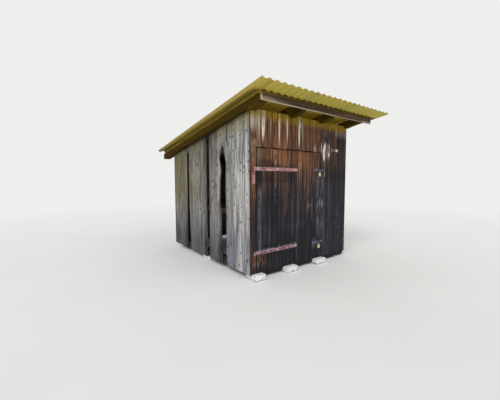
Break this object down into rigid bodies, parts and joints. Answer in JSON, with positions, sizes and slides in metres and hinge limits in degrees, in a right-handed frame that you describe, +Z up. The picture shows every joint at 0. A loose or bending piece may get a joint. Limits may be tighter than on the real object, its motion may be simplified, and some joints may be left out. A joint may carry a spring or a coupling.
{
  "type": "wooden outhouse shed",
  "caption": "Small timber outhouse with vertical board walls, a wide ledged door on strap hinges and a lean-to roof of translucent corrugated sheets on rafters.",
  "frame": {"origin": "on the ground under the middle of the roof's plan (the bounding box's bottom centre)", "axes": "+X to the right along the front wall, +Y from the front wall with the door to the back wall, +Z up"},
  "size_m": [3.076, 3.868, 2.7281],
  "materials": {
    "brick": "rough white brick with dirt at the foot",
    "frame_timber": "rough sawn dark timber",
    "roof_timber": "rough sawn dark timber",
    "fascia_timber": "weathered grey board",
    "roof_sheet": "aged translucent yellow corrugated sheet",
    "grey_boards": "silver-grey weathered boards, unpainted",
    "front_boards": "old tar and red-brown stain over narrow boards",
    "strap_iron": "faded pinkish red paint, chipped",
    "hasp_iron": "dull grey steel with rust",
    "lock_brass": "dull brass"
  },
  "bodies": {
    "shed": {"front_pads": "brick", "rear_pads": "brick", "front_sill": "frame_timber", "back_sill": "frame_timber", "side_sills": "frame_timber", "corner_posts": "frame_timber", "door_posts": "frame_timber", "door_header": "frame_timber", "front_rail": "frame_timber", "side_rails": "frame_timber", "back_rail": "frame_timber", "front_plate": "frame_timber", "back_plate": "frame_timber", "side_plates": "frame_timber", "left_rafter": "roof_timber", "inner_left_rafter": "roof_timber", "inner_right_rafter": "roof_timber", "right_rafter": "roof_timber", "front_fascia": "fascia_timber", "purlins": "roof_timber", "verge_timbers": "roof_timber", "roof_sheet_left": "roof_sheet", "roof_sheet_middle": "roof_sheet", "roof_sheet_right": "roof_sheet", "left_front_boards": "grey_boards", "left_narrow_boards": "grey_boards", "left_middle_boards": "grey_boards", "left_back_boards": "grey_boards", "right_boards": "grey_boards", "back_boards": "grey_boards", "front_strip": "front_boards", "over_door_boards": "front_boards", "front_right_boards": "front_boards", "upper_pintle": "strap_iron", "lower_pintle": "strap_iron", "hasp_keepers": "hasp_iron"},
    "door": {"door_leaf": "front_boards", "door_ledges": "frame_timber", "door_brace": "frame_timber", "upper_strap": "strap_iron", "lower_strap": "strap_iron", "upper_hasp": "hasp_iron", "lower_hasp": "hasp_iron", "upper_padlock": "lock_brass", "lower_padlock": "lock_brass"}
  },
  "joints": [
    {"name": "door_swing", "type": "hinge", "parent": "shed", "child": "door", "pos_m": [-1.253, -1.416, 0.402], "axis": [0, 0, -1], "range_deg": [0, 105]}
  ]
}
